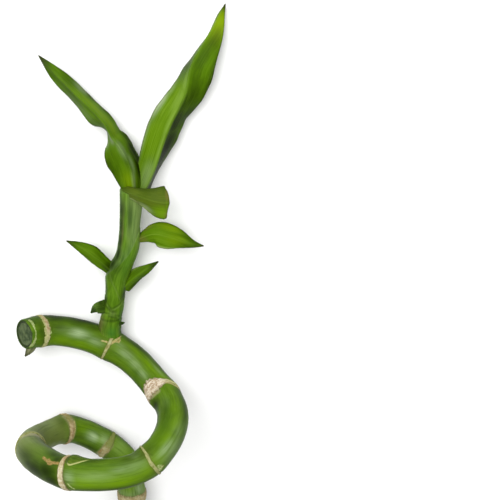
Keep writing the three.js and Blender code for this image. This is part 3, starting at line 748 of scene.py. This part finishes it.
# Soft marks on the stem, with the same numbers as the patches on the cane.
STEM_MARKS = {
    "fresh": [
        (20, 20, 6, 5, 0.8), (80, 338, 22, 1.5, 0.8), (97, 306, 6, 3, 0.6), (97, 332, 6, 3, 0.9),
        (8, 30, 6, 6, 0.5), (70, 342, 8, 2.6, 0.9), (82, 304, 9, 2.4, 0.7),
    ],
    # Darker marks, with painted shade on the stem's shaded sides and beside the leaf bases.
    "dark": [
        (86, 1, 10, 1.3, 0.55), (86, 324, 7, 1, 0.4), (58, 345, 4, 2.4, 0.3), (88, 307, 8, 2.4, 0.85),
        (79, 307, 8, 2, 0.85), (70, 308, 8, 2, 0.9), (61, 308, 8, 2.2, 0.95), (53, 300, 6, 3, 0.9),
        (53, 336, 5, 3.2, 0.6), (48, 327, 4, 2.6, 0.5), (36, 66, 5, 2.4, 0.9), (50, 76, 12, 1.8, 0.5),
        (22, 88, 4, 3, 0.8), (30, 292, 4, 2.4, 0.9), (16, 330, 5, 3, 0.35), (38, 292, 8, 1.8, 0.6),
        (66, 96, 12, 1.8, 0.6), (86, 96, 14, 1.6, 0.6), (10, 290, 8, 2.4, 0.6), (10, 84, 8, 2, 0.8),
    ],
    "brown": [(15, 300, 5, 2.6, 0.7), (8, 300, 4, 4, 0.6), (84, 321, 10, 0.7, 0.35), (75, 322, 7, 0.6, 0.7)],
    "pale": [
        (71, 88, 6, 2.5, 0.6), (84, 48, 14, 2.4, 0.4), (74, 0, 7, 1.6, 0.2), (94, 345, 6, 2, 0.2),
        (94, 36, 7, 4, 0.45), (24.6, 0, 1.4, 2, 0.4), (17.6, 304, 1.2, 2.4, 0.5),
    ],
    "emerald": [(12, 14, 4, 3, 0.7), (22, 70, 6, 2.5, 0.4), (58, 20, 8, 3, 0.3)],
}
# Dark lines on the stem, with the same numbers as the scars on the cane.
STEM_STROKES = [
    (1.1, [(27.8, 268), (27.5, 300), (27.2, 328), (25.8, 350)]), (0.9, [(25.8, 350), (25.4, 356)]),
    (0.8, [(18, 300), (18.6, 312), (20.2, 356), (21.2, 40)]), (0.9, [(22.6, 350), (22.4, 12)]),
]
STEM_STEP = 0.4


def build_shoot():
    line = Centreline(SHOOT_PATH, 300)
    radii = smooth([[r] for r in SHOOT_RADII])
    rows = np.append(np.arange(0, line.length, STEM_STEP), line.length)
    s = rows[:, None] + np.zeros(AROUND)
    angle = np.zeros_like(s) + ANGLES
    radius = radii(s / line.length * (len(SHOOT_RADII) - 1))[..., 0] - 0.3
    values = {key: patch_field(marks, s, angle, radius) for key, marks in STEM_MARKS.items()}
    bring_up(values, "dark", 0.55 * rise(scar_field(STEM_STROKES, s, angle, radius)))
    for sheath in SHEATHS:
        turn = line.angle_to((sheath["low"] + sheath["high"]) / 2, sheath["side"])
        climb = (sheath["high"] - sheath["low"]) * (0.5 + 0.5 * np.cos(angle - turn)) ** sheath["dip"]
        below = sheath["low"] + climb - s
        radius = radius + WRAP * rise(below / 0.7) * (1 - rise((below - 4) / 16))
        bring_up(values, "pale", sheath["light"] * hill((below - 0.6) / 0.6))
        # Painted shade on the stem just beside the raised edge of the leaf base.
        bring_up(values, "dark", sheath["dark"] * hill((below + 0.5) / 0.8))
        bring_up(values, "fresh", sheath.get("fresh", 0) * rise(below / 1.5))
    radius = radius + 0.06 * waves(s * 0.06, angle * 3, 21, 7)
    foot = rise((17 - s) / 8)
    points = line.around(s, angle, radius + 0.18 * foot * waves(s * 1.1, angle * 2, 23))
    values["skin"] = skin_place(s, angle, radius)
    piece("shoot_wrapped", points, closed_tube(points), ["shoot_stem"], SHOOT_SKIN, values)


# The leaves, with the same midribs, widths and folds as the part's source. left and right are how far the
# halves fold back, in degrees. grid is rows along the blade and columns across each half. wave is the
# margin's: height in millimetres, how often it comes, the shift from half to half, and the width where it is
# full. Marks: place along the blade, 0 to 1, and across it, -1 to 1, reach along and across, and strength.
# split names the marks that keep to one half: the painted shade to the shaded half, and the painted light and
# the rib to the lit half.

FACING = (0, -0.94, 0.34)
USUAL_LEAF = dict(material=LEAF_GREEN, slot="leaf", rib_line=0.1, split=(), dry_tip=1)
LEAVES = {
    "leaf_big_right": dict(
        grid=(170, 20), wave=(0.6, 3.5, 2, 8), rib_line=0.25, dry_tip=0.8, split=("shade_and_dark_marks", "bright", "rib"),
        midrib=[(23.5, 38, 124.5), (31.5, 38, 138.5), (38, 38.5, 156.5), (44, 40, 170.5),
            (50.2, 42.5, 182.9), (53.2, 46, 196.1), (61.4, 50.5, 209.3), (66.5, 54, 218.1),
            (70.5, 57.5, 225.1)],
        half_width=[5, 9.4, 11.2, 11.4, 11.6, 12.2, 8, 4, 0.3],
        left=[50, 20, 12, 20, 40, 76, 78, 74, 70], right=[70, 80, 66, 61, 40, 12, 5, 8, 10],
        bright=[(0.1, -0.4, 0.12, 0.7, 1), (0.26, -0.5, 0.14, 0.6, 1), (0.4, -0.5, 0.1, 0.6, 1),
            (0.5, -0.4, 0.07, 0.6, 1), (0.76, -0.4, 0.1, 0.35, 0.6)],
        bloom=[(0.4, -1, 0.07, 0.2, 0.85), (0.49, -0.95, 0.07, 0.2, 0.3), (0.27, -1, 0.1, 0.12, 0.35),
            (0.12, -0.25, 0.06, 0.4, 0.25)],
        rib=[(0.12, -0.03, 0.08, 0.1, 0.7), (0.24, -0.05, 0.1, 0.1, 0.8), (0.36, -0.06, 0.1, 0.12, 0.8),
            (0.46, -0.2, 0.07, 0.22, 0.7), (0.55, -0.12, 0.05, 0.2, 0.8)],
        yellow=[(0.86, 0.4, 0.1, 0.9, 1), (0.8, -0.5, 0.08, 0.6, 0.5)],
        shade_and_dark_marks=[(0.78, 0.5, 0.06, 0.4, 0.35), (0.12, 0.5, 0.1, 0.6, 1), (0.24, 0.4, 0.1, 0.5, 1),
            (0.36, 0.3, 0.08, 0.35, 0.95), (0.46, 0.4, 0.08, 0.6, 0.5), (0.4, 0.75, 0.08, 0.35, 0.7),
            (0.62, 0.95, 0.14, 0.15, 0.4)],
        dark=[(0.63, -0.6, 0.035, 0.5, 0.5), (0.7, -0.95, 0.12, 0.15, 0.5)]),
    "leaf_big_left": dict(
        grid=(150, 20), wave=(0.5, 3.5, 1, 8), dry_tip=0.7,
        midrib=[(22, 36.5, 126.5), (21.5, 35.5, 142), (18.8, 34.5, 151.9), (15.1, 34, 158.9),
            (12.4, 34, 162.5), (9.8, 34, 168.9), (3.8, 35, 176.4), (-3.9, 37, 183.6), (-13.6, 40, 192.8),
            (-23, 44, 202.3)],
        half_width=[6.5, 10.2, 11.9, 10.9, 10, 9.5, 9.2, 8, 5.4, 0.3],
        left=[40, 15, 22, 54, 78, 58, 51, 54, 49, 45], right=[50, 58, 64, 61, 60, 66, 66, 57, 52, 45],
        bright=[(0.76, 0.2, 0.07, 0.35, 1), (0.68, 0.35, 0.08, 0.35, 1), (0.6, 0.35, 0.08, 0.4, 1),
            (0.51, 0.4, 0.09, 0.35, 1), (0.41, 0.4, 0.08, 0.35, 0.9), (0.05, -0.4, 0.06, 0.5, 0.7),
            (0.1, 0.35, 0.05, 0.25, 0.5), (0.12, -0.2, 0.05, 0.3, 0.5)],
        yellow=[(0.66, 0.3, 0.1, 0.2, 0.4), (0.52, 0.4, 0.1, 0.2, 0.4), (0.06, -0.2, 0.06, 0.4, 0.5)],
        bloom=[(0.79, 0.8, 0.04, 0.3, 0.3), (0.7, -0.7, 0.12, 0.3, 0.12), (0.4, -0.25, 0.06, 0.25, 0.3),
            (0.28, 0.05, 0.08, 0.2, 0.3), (0.16, 0.2, 0.06, 0.15, 0.3), (0.08, 0.1, 0.05, 0.12, 0.3),
            (0.36, -0.9, 0.05, 0.2, 0.25)],
        shade_and_dark_marks=[(0.74, 0.95, 0.06, 0.25, 0.7), (0.62, 1, 0.06, 0.2, 0.6), (0.3, 0.9, 0.1, 0.25, 0.7),
            (0.2, 0.75, 0.08, 0.3, 0.95), (0.12, 0.7, 0.07, 0.35, 1), (0.98, 0, 0.05, 1, 0.15),
            (0.22, -0.95, 0.1, 0.12, 0.4), (0.5, -0.95, 0.1, 0.2, 0.35), (0.23, -0.6, 0.09, 0.4, 0.3)]),
    "leaf_curled": dict(
        grid=(110, 16), material=LEAF_OLIVE, slot="curled_leaf", wave=(0.3, 1.5, 1, 8), dry_tip=0.3,
        midrib=[(15.7, 37, 131.9), (23, 29, 133), (29.6, 24.5, 132.4), (34.8, 23, 131.3),
            (38.5, 22.5, 130.9), (40.4, 22.5, 130.9), (41.8, 22.5, 130.8)],
        half_width=[3.2, 3.8, 6, 8.4, 9, 6.7, 0.3],
        left=[35, 20, 12, 12, 14, 16, 20], right=[35, 30, 28, 25, 22, 20, 20],
        bright=[(0.62, 0.6, 0.18, 0.45, 1), (0.84, 0.3, 0.1, 0.5, 0.6)],
        yellow=[(0.66, 0.6, 0.16, 0.3, 0.15)], bloom=[(0.35, 0.75, 0.12, 0.2, 0.3)],
        brown=[(0.84, -0.6, 0.1, 0.4, 0.5), (0.8, 0.8, 0.1, 0.2, 0.4)],
        pale=[(0.12, 0.95, 0.1, 0.16, 0.8), (0.34, 0.98, 0.14, 0.1, 0.7)],
        shade_and_dark_marks=[(0.3, -0.9, 0.2, 0.3, 0.4), (0.65, -0.9, 0.1, 0.2, 0.3), (0.9, -0.2, 0.04, 0.8, 0.2)]),
    "leaf_right_upper": dict(
        grid=(90, 14), wave=(0.3, 1.5, 1, 6),
        midrib=[(21.5, 37, 102.5), (30.8, 35, 107.4), (37.7, 35, 106.5), (44.6, 37, 103.5),
            (51.1, 40, 99.5), (57.7, 44, 96.3)],
        half_width=[1.5, 5.9, 7.4, 5.8, 2.9, 0.3],
        left=[40, 28, 18, 15, 20, 20], right=[40, 25, 15, 15, 25, 20],
        bright=[(0.45, 0.3, 0.3, 0.6, 1), (0.65, 0, 0.15, 0.5, 0.9), (0.44, -0.6, 0.2, 0.45, 1)],
        yellow=[(0.58, 0.1, 0.14, 0.5, 0.35), (0.44, -0.75, 0.16, 0.3, 0.6)],
        pale=[(0.42, 1, 0.26, 0.12, 0.8)],
        brown=[(0.06, 0.3, 0.06, 0.8, 0.5), (0.16, -0.9, 0.06, 0.3, 0.4)],
        shade_and_dark_marks=[(0.4, -1, 0.3, 0.1, 0.4), (0.92, 0, 0.08, 1, 0.5)]),
    "leaf_right_lower": dict(
        grid=(70, 12), wave=(0.2, 1.5, 1, 5),
        midrib=[(13, 37, 73.5), (20.5, 36, 81.2), (26.5, 37, 85.3), (33.3, 39, 89.4)],
        half_width=[5, 4.8, 3, 0.3], left=[30, 20, 20, 20], right=[45, 50, 40, 20],
        brown=[(0.12, -0.9, 0.1, 0.3, 0.6)], pale=[(0.4, -0.95, 0.25, 0.12, 0.3)],
        shade_and_dark_marks=[(0.9, 0, 0.14, 1, 0.8), (0.15, 0.8, 0.15, 0.3, 0.7), (0.45, -0.5, 0.35, 0.5, 0.35),
            (0.4, 0.95, 0.2, 0.15, 0.5)]),
    "leaf_left_lower": dict(
        grid=(70, 12), wave=(0.2, 1.5, 1, 5),
        midrib=[(9, 36, 83.5), (2.2, 33, 92.8), (-2.3, 32, 97.6), (-8, 33, 101.1), (-15.1, 36, 103.2)],
        half_width=[4, 5.2, 5, 3, 0.3], left=[45, 38, 38, 32, 20], right=[40, 42, 26, 25, 20],
        bright=[(0.5, 0, 0.25, 0.5, 0.6)], pale=[(0.4, -0.97, 0.25, 0.12, 0.4)],
        shade_and_dark_marks=[(0.45, 0.97, 0.35, 0.16, 0.7), (0.95, 0, 0.1, 1, 0.7), (0.08, 0.3, 0.08, 0.8, 0.6)]),
    "bract_left": dict(
        grid=(40, 8), material=SHOOT_SKIN, slot="stem", wave=(0, 1, 0, 5), rib_line=0,
        midrib=[(4.4, 39.5, 62.5), (1.3, 35.5, 62.9), (-1.4, 33.5, 63.3), (-4.2, 32, 61.3)],
        half_width=[3.7, 3.7, 2.7, 0.3], left=[20, 20, 20, 20], right=[25, 20, 20, 20],
        fresh=[(0.3, 0, 0.5, 1.5, 0.8)],
        dark=[(0.9, 0, 0.3, 1.5, 0.9), (0.4, -0.9, 0.4, 0.3, 0.7), (0.3, 0.2, 0.5, 1.5, 0.65)]),
    "bract_right": dict(
        grid=(30, 6), material=SHOOT_SKIN, slot="stem", wave=(0, 1, 0, 5), rib_line=0,
        midrib=[(7.7, 38.5, 50.4), (11.5, 36.5, 52.2), (13.5, 35, 53.7)], half_width=[1.6, 1, 0.3],
        left=[20, 20, 20], right=[30, 20, 20], dark=[(0.6, 0, 0.5, 1.5, 0.9)]),
    "dry_scrap": dict(
        grid=(36, 8), material=DRY_SHEATH, slot="dry", wave=(0.3, 1, 0, 3), rib_line=0, dry_tip=0.3,
        midrib=[(-36.7, 27, 44.6), (-38.1, 24, 42.4), (-40.3, 22, 39.7)], half_width=[2.8, 2.2, 0.3],
        left=[15, 15, 10], right=[25, 20, 10], pale=[(0.2, 0.2, 0.3, 0.5, 0.5)]),
}
MARK_NAMES = ("bright", "yellow", "shade_and_dark_marks", "bloom", "rib", "pale", "brown", "fresh", "dark")
LEAF_THICK = 0.55  # at the midrib
MARGIN_THICK = 0.22
BOW = 0.06  # how far each half bows out, as a share of its width
VEIN_HEIGHT, VEIN_RATE = 0.018, 44  # the rate is in radians from the midrib to the margin
RIB_HEIGHT, RIB_WIDTH = 0.14, 0.6


def leaf_field(marks, u, v):
    field = np.zeros_like(u + v)
    for at, turn, along, across, strength in marks:
        away = ((u - at) / along) ** 2 + ((v - turn) / across) ** 2
        field = np.maximum(field, strength * np.exp(-away ** 1.5))
    return field


def build_leaf(name, leaf, seed):
    rows, columns = leaf["grid"]
    last = len(leaf["midrib"]) - 1
    stations = zip(leaf["midrib"], leaf["half_width"], leaf["left"], leaf["right"])
    shape = smooth([[*point, *rest] for point, *rest in stations])
    u = np.linspace(0, 1, rows + 1)[:, None]
    t = last * u[:, 0]
    x = shape(t)
    spine, width, left, right = x[:, :3], x[:, 3], x[:, 4], x[:, 5]
    tangent = unit(shape(np.minimum(t + 0.01, last))[:, :3] - shape(np.maximum(t - 0.01, 0))[:, :3])
    side = unit(np.cross(tangent, np.array(FACING, float)))
    front = unit(np.cross(side, tangent))
    half = np.linspace(0, 1, columns + 1)[1:] ** 1.25
    v = np.concatenate([-half[::-1], [0], half]) + 0 * u
    away = np.abs(v)
    fold = np.radians(np.where(v < 0, left[:, None], right[:, None]))
    width = np.maximum(width, 0.3)[:, None]
    height, count, shift, full = leaf["wave"]
    swing = np.sin(2 * math.pi * count * u + np.where(v < 0, 0, shift))
    wave = height * v * v * swing * np.minimum(1, width / full)
    ripple = 0.012 * width * away ** 3 * waves(u * 60 + np.sign(v), 0, seed, 7)
    off = wave + BOW * width * away * (1 - away) + ripple
    reach = away * width
    lift = -reach * np.sin(fold) + off * np.cos(fold)
    out = np.sign(v) * (reach * np.cos(fold) + off * np.sin(fold))
    place = spine[:, None] + side[:, None] * out[..., None] + front[:, None] * lift[..., None]
    fold = np.where(away < 1e-9, 0, fold)
    normal = front[:, None] * np.cos(fold)[..., None] + side[:, None] * (np.sign(v) * np.sin(fold))[..., None]
    thick = (MARGIN_THICK + (LEAF_THICK - MARGIN_THICK) * (1 - away) ** 1.5) / 2
    along_mm = np.append(0, np.cumsum(np.linalg.norm(np.diff(spine, axis=0), axis=1)))[:, None]
    veins = VEIN_HEIGHT * np.cos(v * VEIN_RATE) * (1 - away ** 6)
    ridge = RIB_HEIGHT * hill(v * width / RIB_WIDTH) * np.minimum(1, width / 6)
    upper = place + normal * (thick + veins + ridge)[..., None]
    lower = place - normal * (thick - veins)[..., None]
    loop = np.concatenate([upper, lower[:, ::-1]], axis=1)

    def both(values):
        """The same numbers on the upper and the lower face."""
        values = values + np.zeros_like(v)
        return np.concatenate([values, values[:, ::-1]], axis=1)
    near_margin = rise((away * width - width + 0.5) / 0.4) * 0.7
    tip = rise((u - 0.93) / 0.07)
    marks = {key: leaf_field(leaf.get(key, []), u, v) for key in MARK_NAMES}
    for key in leaf["split"]:
        marks[key] = marks[key] * rise((v if key == "shade_and_dark_marks" else -v) * width / 0.5)
    bring_up(marks, "rib", leaf["rib_line"] * hill(v * width / 0.5) * (1 - tip))
    if leaf["material"] is SHOOT_SKIN:
        bring_up(marks, "dark", 0.85 * tip)
    marks.update(margin=np.maximum(near_margin, 0.5 * tip), dry=leaf["dry_tip"] * tip,
                 edge=np.maximum(near_margin, 0.8 * rise(u * 2 - 0.8)))
    values = {key: both(field) for key, field in marks.items()}
    values["skin"] = np.stack([both(along_mm), both(v * width), both(seed * 9)], axis=-1)
    piece(name + "_blade", loop, closed_tube(loop), [name], leaf["material"], values)


# The side bud: where it starts and ends along the cane, its side, and its size as a share from start to end.
BUD = dict(start=189.9, end=178.3, side=(-0.1, 0.4, 0.9), half_width=7.0, height=1.2,
           sizes=(0.8, 1, 0.86, 0.66, 0.46, 0.28, 0.08))


def build_bud():
    rows, columns = 40, 24
    u = np.linspace(0, 1, rows + 1)[:, None]
    v = np.linspace(-1, 1, columns + 1)[None, :]
    size = smooth([[share] for share in BUD["sizes"]])(u[:, 0] * (len(BUD["sizes"]) - 1))[:, :1]
    s = BUD["start"] + (BUD["end"] - BUD["start"]) * u + 0 * v
    base = cane_radius(s)
    middle = cane.angle_to(BUD["start"], BUD["side"])
    angle = middle + v * size * BUD["half_width"] / base
    height = 0.1 + size * BUD["height"] * (1 - v * v) ** 0.8
    outer = cane.around(s, angle, base + height)
    inner = cane.around(s, angle, base - 0.2 + 0 * v)
    loop = np.concatenate([outer, inner[:, ::-1]], axis=1)
    place = np.stack([s, v * size * BUD["half_width"], height], axis=-1)
    edge = 0.7 * rise((v - 0.35) / 0.5) + 0.6 * rise((0.12 - u) / 0.1) + 0 * u
    pale = 0.9 * hill((v + 0.93) * size / 0.055) * rise(u * 6) * rise((1 - u) * 3)
    values = {key: np.concatenate([field, field[:, ::-1]], axis=1)
              for key, field in (("skin", place), ("edge", edge), ("pale", pale))}
    piece("bud_scales", loop, closed_tube(loop), ["bud"], BUD_SKIN, values)


build_cane()
for number, one_joint in enumerate(JOINTS):
    build_ring(one_joint, 100 + 10 * number)
build_cut_face()
build_shoot()
for number, (leaf_name, one_leaf) in enumerate(LEAVES.items()):
    build_leaf(leaf_name, {**USUAL_LEAF, **one_leaf}, 300 + 7 * number)
build_bud()


# The stage: a pale floor and soft light from the upper left of the view.

SKY_LOW, SKY_HIGH = 0.30, 0.74  # the sky's strength at the horizon and high up
PLANT_MIDDLE = (5, 20, 30)


def build_stage():
    half = 3.0
    mesh = bpy.data.meshes.new("floor")
    corners = [(-half, -half, 0), (half, -half, 0), (half, half, 0), (-half, half, 0)]
    mesh.from_pydata(corners, [], [(0, 1, 2, 3)])
    floor = add_object("floor", mesh)
    m = Material("floor_pale")
    where = m.node("TexCoord", {}).outputs["Object"]
    cloud = m.noise(where, 3, 2, 0.5)
    base = m.mix(m.between(cloud, 0.3, 0.7), (0.90, 0.90, 0.895, 1), (0.92, 0.92, 0.915, 1))
    mesh.materials.append(m.finish(base, 0.9, 0.1))


def build_sky():
    """White light from above that fades towards the horizon."""
    scene.world = bpy.data.worlds.new("world")
    sky = Nodes(scene.world)
    place = sky.node("TexCoord", {}).outputs["Generated"]
    height = sky.node("SeparateXYZ", {"Vector": place}).outputs["Z"]
    background = sky.tree.nodes["Background"]
    sky.put(sky.between(height, 0, 0.85, SKY_LOW, SKY_HIGH), background.inputs["Strength"])
    sky.put((1, 1, 1, 1), background.inputs["Color"])


def area_light(name, direction, distance, size, power):
    """A square white light on the plant's middle. Its direction is right, above and towards the camera."""
    data = bpy.data.lights.new(name, "AREA")
    data.shape = "SQUARE"
    data.size = size
    data.energy = power
    right, above, back = direction
    towards = unit(TURN @ (right * RIGHT + above * ABOVE - back * AHEAD))
    helper = unit(np.cross([0.0, 1.0, 0.0], towards))
    add_object(name, data, lay(PLANT_MIDDLE) + distance * towards, helper, np.cross(towards, helper), towards)


build_stage()
build_sky()
area_light("key", (-0.15, 0.22, 1), distance=1.0, size=0.6, power=11)
area_light("fill", (0.6, -0.3, 1), distance=1.6, size=1.4, power=4)
scene.view_settings.view_transform = "Standard"
scene.view_settings.look = "None"
scene.view_settings.exposure = 0.0
